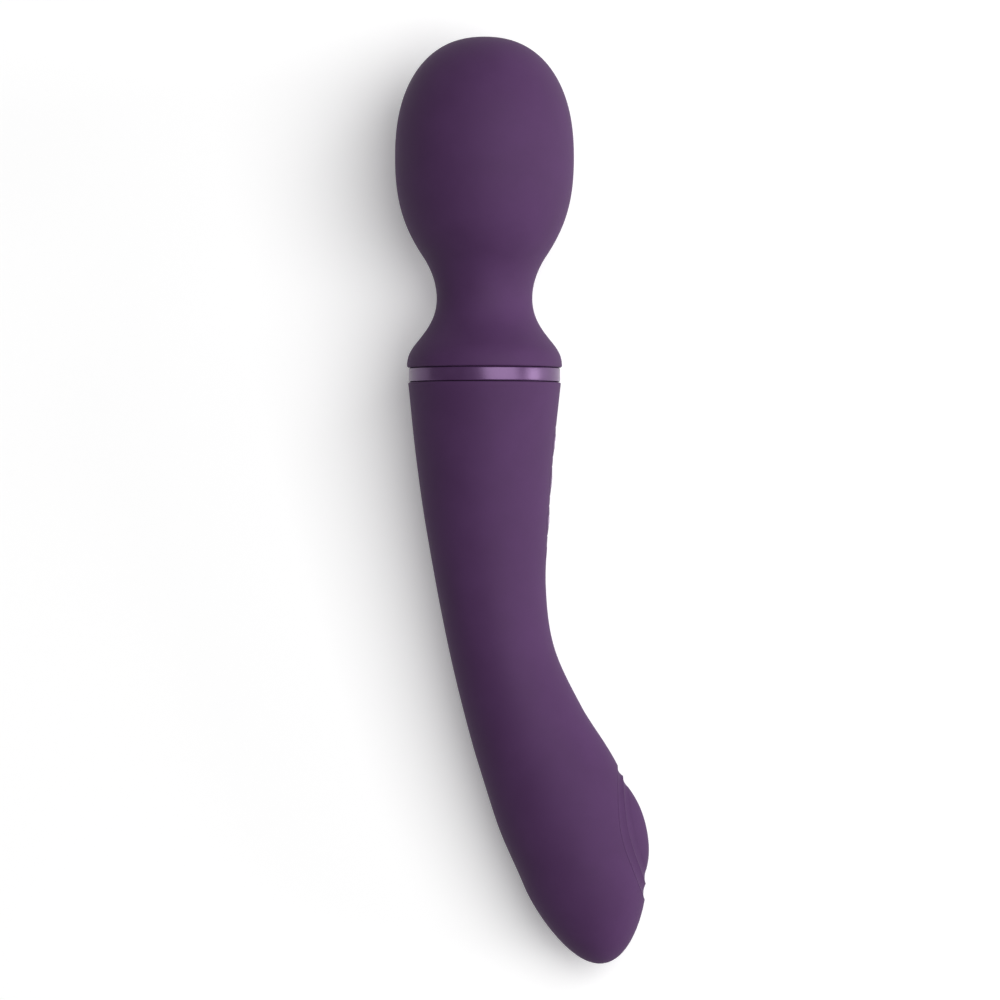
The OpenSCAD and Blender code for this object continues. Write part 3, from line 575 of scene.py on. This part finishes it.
def grip_rings(depth):
    """All rings below the top edge, and the point at the tip."""
    reach = (TIP_LENGTH - depth) / TIP_LENGTH
    rings = [grip_ring(i / GRIP_STEPS, 1, depth) for i in range(1, (LAST - 1) * GRIP_STEPS + 1)]
    for t in np.radians(np.arange(1, TIP_STEPS) * 90 / TIP_STEPS):
        rings.append(grip_ring(LAST - 1 + reach * math.sin(t), math.cos(t), depth))
    tip = along(LAST - 1 + reach)
    return rings, [tip[0], 0, tip[1]]


TOP_RISE, EDGE_ROUND = 0.15, 0.35  # the top edge stands above station 0, and is rounded


def top_edge(depth, drop):
    """A ring of the rounded top edge, inside the surface by depth and lowered by drop."""
    return grip_ring(0, 1, depth) + [0, 0, TOP_RISE - drop]


outer_rings, outer_tip = grip_rings(0)
rim = [
    top_edge(EDGE_ROUND * (1 - math.sin(t)), EDGE_ROUND * (1 - math.cos(t)))
    for t in np.radians([0, 30, 60, 90])
]
inner_rings, inner_tip = grip_rings(SKIN_T)
inner_rings = [top_edge(SKIN_T, 0)] + inner_rings
outer_points, outer_faces = through_rings(rim + outer_rings, end=outer_tip)
inner_points, inner_faces = through_rings(inner_rings, end=inner_tip)
first_inner = len(outer_points)
next_side = [(k + 1) % GRIP_SIDES for k in range(GRIP_SIDES)]
top_faces = [(k, j, first_inner + j, first_inner + k) for k, j in enumerate(next_side)]
handle_skin = make_mesh(
    "handle_skin",
    np.vstack([outer_points, inner_points]),
    outer_faces + [tuple(i + first_inner for i in f) for f in inner_faces] + top_faces,
    SKIN,
)
skin_tree = BVHTree.FromPolygons(outer_points.tolist(), outer_faces)

# Local frames of the key row and the pad, whose +Z points out of the handle and +X down it
KEY_ROW, KEY_TURN, KEY_PITCH, KEY_R = (17.3, 0, -29.4), 94.4, 10.2, 4.0
PAD_POS, PAD_TURN = (40.3, 0, -120), 78.5
WINDOW_R = KEY_R + 0.25
PORT_X, PORT_HOLE_R, PORT_LIP_R = 18.9, 1.6, 2.1
CUT_LOW, CUT_HIGH = -6, 4  # round holes are cut between these heights of the key row
PAD_CUT_LOW, PAD_CUT_HIGH = -10, 8


def at_keys(mesh_data, x):
    """Moves points and faces to a place x down the key row."""
    points, faces = mesh_data
    return placed(points + [x, 0, 0], KEY_ROW, KEY_TURN), faces


def drill(radius, x):
    """A rod that cuts a round hole at a place x down the key row."""
    profile = [[0, CUT_HIGH], [radius, CUT_HIGH], [radius, CUT_LOW], [0, CUT_LOW]]
    return at_keys(turned(profile, 96), x)


# Ovals of the pad: half length, half width, middle, height above the skin, slope to the tip
OPENING = (17.85, 10.2, -0.1)
EDGE = np.array([17.75, 10.1, -0.1, 0.0, 0.0])
RIDGE = np.array([14.3, 8.1, -0.6, -0.1, -0.013])
DOME_EDGE = np.array([10.9, 5.9, -0.9, 0.0, -0.018])
OVAL_SIDES = 128
RAY_FROM = 30  # rays down to the skin start at this local height


def oval(a, b, middle, z=0.0):
    """A level oval of the pad's local frame."""
    t = np.arange(OVAL_SIDES) * 2 * math.pi / OVAL_SIDES
    return np.column_stack([middle + a * np.cos(t), b * np.sin(t), np.full(OVAL_SIDES, z)])


def on_skin(points, height, origin, turn):
    """Local points dropped on the handle's surface along the local Z, and raised by height."""
    above = placed(points * [1, 1, 0] + [0, 0, RAY_FROM], origin, turn)
    down = Vector(placed([[0, 0, -1]], (0, 0, 0), turn)[0])
    drops = [skin_tree.ray_cast(Vector(p), down)[3] for p in above]
    return np.column_stack([points[:, 0], points[:, 1], RAY_FROM - np.array(drops) + height])


def pad_ring(oval_of_pad, drop):
    """An oval of the pad on the skin, lowered by drop."""
    a, b, middle, height, slope = oval_of_pad
    ring = oval(a, b, middle)
    return on_skin(ring, height + slope * ring[:, 0] - drop, PAD_POS, PAD_TURN)


LIP_SUNK, LIP_SPARE = 1, 0.2  # the lip starts inside the skin, and the hole trims its bore
lip_bore_r, lip_middle_r = PORT_HOLE_R - LIP_SPARE, (PORT_HOLE_R + PORT_LIP_R) / 2
lip_profile = (
    [[lip_bore_r, -LIP_SUNK], [lip_bore_r, 0]]
    + arc(lip_middle_r, 0, PORT_LIP_R - lip_middle_r, 180, 0, 8)
    + [[PORT_LIP_R, -LIP_SUNK]]
)
port_lip = make_mesh("port_lip", *at_keys(turned(lip_profile, 64), PORT_X), SKIN)
cut(handle_skin, [port_lip], "UNION", SKIN)
opening, opening_faces = through_rings(
    [oval(*OPENING, PAD_CUT_HIGH), oval(*OPENING, PAD_CUT_LOW)],
    [OPENING[2], 0, PAD_CUT_HIGH],
    [OPENING[2], 0, PAD_CUT_LOW],
)
holes = [make_mesh("opening", placed(opening, PAD_POS, PAD_TURN), opening_faces, SKIN)]
for i in (-1, 0, 1):
    holes.append(make_mesh("window", *drill(WINDOW_R, i * KEY_PITCH), SKIN))
holes.append(make_mesh("port", *drill(PORT_HOLE_R, PORT_X), SKIN))
cut(handle_skin, holes, "DIFFERENCE", SKIN)
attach(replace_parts(handle_skin, "handle_sleeve"), "handle")

# ---------------------------------------------------------------- charging port

JACK_TOP, JACK_BORE_R, JACK_BORE_H = -2.5, 1.3, 6.0
SLEEVE_R, SLEEVE_T = JACK_BORE_R - 0.02, 0.15
PIN_R, PIN_SUNK, PIN_LOW = 0.4, 1.2, -8.4
sleeve_inner_r, sleeve_top, sleeve_low = SLEEVE_R - SLEEVE_T, JACK_TOP - 0.1, JACK_TOP - JACK_BORE_H
sleeve = [
    [SLEEVE_R, sleeve_top], [SLEEVE_R, sleeve_low],
    [sleeve_inner_r, sleeve_low], [sleeve_inner_r, sleeve_top],
]
port_sleeve = make_mesh("port_sleeve", *at_keys(turned(sleeve, 48), PORT_X), CONTACT)
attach(port_sleeve, "handle")
pin_top = JACK_TOP - PIN_SUNK
pin = [[0, pin_top]] + arc(0, pin_top - PIN_R, PIN_R, 80, 0) + [[PIN_R, PIN_LOW], [0, PIN_LOW]]
port_pin = make_mesh("port_pin", *at_keys(turned(pin, 32), PORT_X), CONTACT)
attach(port_pin, "handle")

# ---------------------------------------------------------------- keys

STEM_R, STEM_Z = 1.4, -6.6
FLANGE_R, FLANGE_Z, FLANGE_T = KEY_R + 0.6, -5.9, 0.7
KEY_ROUND, KEY_DOME = 0.45, 0.15
KEY_SIDES = 96


def key_lift(r):
    """Height of the key's top above the skin round it, at a radius."""
    flat = KEY_R - KEY_ROUND
    if r > flat:
        return math.sqrt(max(KEY_ROUND**2 - (r - flat) ** 2, 0)) - KEY_ROUND
    return KEY_DOME * (1 - (r / flat) ** 2)


def key_ring(r, x, height=None):
    """A circle of the key at place x on its row: on the skin, or at a height of its own."""
    t = np.arange(KEY_SIDES) * 2 * math.pi / KEY_SIDES
    ring = np.column_stack([x + r * np.cos(t), r * np.sin(t), np.zeros(KEY_SIDES)])
    if height is None:
        return on_skin(ring, key_lift(r), KEY_ROW, KEY_TURN)
    return ring + [0, 0, height]


def key_cap(x):
    """The key at place x on its row: stem, flange, and a top that follows the handle's curve."""
    flange_top = FLANGE_Z + FLANGE_T
    rings = [key_ring(r, x, z) for r, z in (
        (STEM_R, STEM_Z), (STEM_R, FLANGE_Z), (FLANGE_R, FLANGE_Z), (FLANGE_R, flange_top),
        (KEY_R, flange_top),
    )]
    rim = KEY_R - KEY_ROUND + KEY_ROUND * np.cos(np.radians(np.arange(0, 90, 12)))
    for r in [*rim, *np.linspace(KEY_R - KEY_ROUND, 0, 10)[:-1]]:
        rings.append(key_ring(r, x))
    top = on_skin(np.array([[x, 0, 0]]), KEY_DOME, KEY_ROW, KEY_TURN)[0]
    return through_rings(rings, [x, 0, STEM_Z], top)


def circle_arc(radius, first, last, steps=24):
    """A flat arc, its angles in degrees from the head's side of the key."""
    t = np.radians(np.linspace(first, last, steps + 1))
    return [(-radius * math.cos(a), radius * math.sin(a)) for a in t]


WAVE_HALF, WAVE_H, WAVE_RATE = 1.95, 0.5, 2.4  # half length, height, radians a millimetre


def wave_line(row):
    """A flat wavy line across the key."""
    across = np.linspace(-WAVE_HALF, WAVE_HALF, 28)
    return [(row + WAVE_H * math.sin(WAVE_RATE * y), y) for y in across]


# The lines of each key's mark: a power sign, two waves, and pulses round a point
STROKES = {
    "power": [circle_arc(1.6, 38, 322), [(-2.1, 0), (-1.2, 0), (-0.4, 0)]],
    "head_mode": [wave_line(-0.8), wave_line(0.8)],
    "pulse_mode": [
        circle_arc(0.45, 0, 350, 16), circle_arc(1.25, 40, 140), circle_arc(1.25, 220, 320),
        circle_arc(2.1, 50, 130), circle_arc(2.1, 230, 310),
    ],
}
STROKE_R, STROKE_SUNK = 0.19, 0.08
bodies = frame["record"]["behaviour"]["bodies"]

for place, (mode, strokes) in zip((-1, 0, 1), STROKES.items()):
    middle_x = place * KEY_PITCH
    cad_node = f"{mode}_key"
    body = next(b for b, nodes in bodies.items() if cad_node in nodes)
    points, faces = key_cap(middle_x)
    cap = make_mesh(f"{mode}_cap", placed(points, KEY_ROW, KEY_TURN), faces, KEY)
    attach(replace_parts(cap, cad_node), body)
    for n, stroke in enumerate(strokes):
        lift = np.array([key_lift(math.hypot(x, y)) - STROKE_SUNK for x, y in stroke])
        flat = np.array([(middle_x + x, y, 0) for x, y in stroke])
        points, faces = wire(on_skin(flat, lift, KEY_ROW, KEY_TURN), STROKE_R, 8)
        mark = make_mesh(f"{mode}_mark_{n}", placed(points, KEY_ROW, KEY_TURN), faces, ICON)
        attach(mark, body)

# ---------------------------------------------------------------- pulse pad

OUTER_GROOVE, INNER_GROOVE, GROOVE_POWER = 0.54, 0.42, 0.8
SKIRT, JOIN_GAP = 2.2, 0.02
DOME_H, DOME_POWER = 1.62, 2.2
RIPPLE_STEPS, DOME_STEPS = 12, 18
GAP = np.array([JOIN_GAP, JOIN_GAP, 0, 0, 0])


def ripple(outer, inner, depth, first, last):
    """Part of one scooped ring of the pad, with a skirt, from first to last of its width."""

    def ring(s, drop):
        return pad_ring((1 - s) * (outer - GAP) + s * (inner + GAP), drop)

    rings = [ring(first, SKIRT)]
    for s in np.linspace(first, last, RIPPLE_STEPS + 1):
        rings.append(ring(s, depth * math.sin(math.pi * s) ** GROOVE_POWER))
    rings.append(ring(last, SKIRT))
    points, faces = through_rings(rings, loop=True)
    return placed(points, PAD_POS, PAD_TURN), faces


def dome():
    """The middle of the pad, a low dome with a broad top."""
    edge = DOME_EDGE - GAP
    rings = [pad_ring(edge, SKIRT)]
    for s in np.cos(np.radians(np.linspace(0, 90, DOME_STEPS + 1)[:-1])):
        ring = edge * [s, s, 1, 1, 1]
        rings.append(pad_ring(ring, -DOME_H * (1 - s**DOME_POWER)))
    _, _, centre_x, height, slope = edge
    centre = np.array([[centre_x, 0, 0]])
    top = on_skin(centre, DOME_H + height + slope * centre_x, PAD_POS, PAD_TURN)[0]
    points, faces = through_rings(rings, [centre_x, 0, -SKIRT - 1], top)
    return placed(points, PAD_POS, PAD_TURN), faces


def follow_tap(piece, share):
    """Bakes the piece's placement into its points. It finds where a smooth step reaches the share, but never uses
    that place.
    """
    tries = (t / 2000 for t in range(2001))
    t = next(t for t in tries if t**2 * (3 - 2 * t) >= share)
    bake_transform(piece)


# The outer ripple is split where the stiff plate under the pad ends, so the plate stays covered
for name, data, share in (
    ("pad_outer_bank", ripple(EDGE, RIDGE, OUTER_GROOVE, 0, 0.5), 0.3),
    ("pad_outer_ripple", ripple(EDGE, RIDGE, OUTER_GROOVE, 0.5, 1), 0.6),
    ("pad_inner_ripple", ripple(RIDGE, DOME_EDGE, INNER_GROOVE, 0, 1), 0.8),
):
    piece = make_mesh(name, *data, SKIN)
    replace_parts(piece, "pulse_pad")
    follow_tap(piece, share)
pad_dome = make_mesh("pad_dome", *dome(), SKIN)
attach(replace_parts(pad_dome, "pulse_pad"), "pulse_tapper")

RETURN_R, RETURN_WIRE_R, RETURN_TURNS = 3.2, 0.3, 5
RETURN_LOW, RETURN_HIGH = -27.45, -22.25
coil = coil_path(RETURN_R, RETURN_WIRE_R, RETURN_LOW, RETURN_HIGH, RETURN_TURNS, 24)
points, faces = wire(coil, RETURN_WIRE_R, 8)
return_coil = make_mesh("return_coil", placed(points, PAD_POS, PAD_TURN), faces, SPRING_STEEL)
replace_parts(return_coil, "tapper_spring")
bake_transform(return_coil)

# ---------------------------------------------------------------- floor, lights, camera

FLOOR_HALF = 3.0  # metres
floor_mesh = bpy.data.meshes.new("floor")
floor_mesh.from_pydata(
    [(x * FLOOR_HALF, y * FLOOR_HALF, 0) for x, y in ((-1, -1), (1, -1), (1, 1), (-1, 1))],
    [], [(0, 1, 2, 3)],
)
floor_material, _, _, floor_shader = start_material("pale_floor", 0.8, specular=0.1)
floor_shader.inputs["Base Color"].default_value = (0.9, 0.9, 0.9, 1)
floor_shader.inputs["Emission Color"].default_value = (1, 1, 1, 1)
floor_shader.inputs["Emission Strength"].default_value = 0.28
floor_mesh.materials.append(floor_material)
floor = bpy.data.objects.new("floor", floor_mesh)
bpy.context.scene.collection.objects.link(floor)
floor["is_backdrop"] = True

box_low, box_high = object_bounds()
wand_centre = (box_low + box_high) / 2
LIGHT_DISTANCE = 2.0


def soft_light(name, to_front, to_head, size, power):
    """A square light over the wand, tilted to its front and its head by some degrees."""
    data = bpy.data.lights.new(name, "AREA")
    data.shape = "SQUARE"
    data.size = size
    data.energy = power
    lamp = bpy.data.objects.new(name, data)
    bpy.context.scene.collection.objects.link(lamp)
    x, y = math.tan(math.radians(to_front)), math.tan(math.radians(to_head))
    towards = Vector((x, y, 1)).normalized()
    lamp.location = wand_centre + LIGHT_DISTANCE * towards
    lamp.rotation_euler = towards.to_track_quat("Z", "Y").to_euler()


soft_light("key_light", 25, 6, 2.0, 45)
soft_light("edge_light", 80, 0, 0.8, 13)

world = bpy.data.worlds.new("studio")
world.use_nodes = True
sky = world.node_tree.nodes["Background"]
sky.inputs["Color"].default_value = (1, 1, 1, 1)
sky.inputs["Strength"].default_value = 0.06
bpy.context.scene.world = world

VIEW_CENTRE = (4.02, 0, -34.2)  # what the camera looks at
VIEW_WIDTH = 0.2592  # metres, at the wand's middle
LENS, SENSOR = 200, 36
camera_data = bpy.data.cameras.new("camera")
camera_data.lens = LENS
camera_data.sensor_width = SENSOR
camera_data.clip_start, camera_data.clip_end = 0.05, 20
camera = bpy.data.objects.new("camera", camera_data)
bpy.context.scene.collection.objects.link(camera)
eye = Vector(to_row([VIEW_CENTRE])[0]) - SIDE * VIEW_WIDTH * LENS / SENSOR
camera_axes = Matrix([FRONT, UP, -SIDE]).transposed().to_4x4()
camera.matrix_world = Matrix.Translation(eye) @ camera_axes
bpy.context.scene.camera = camera
bpy.context.scene.view_settings.view_transform = "Standard"
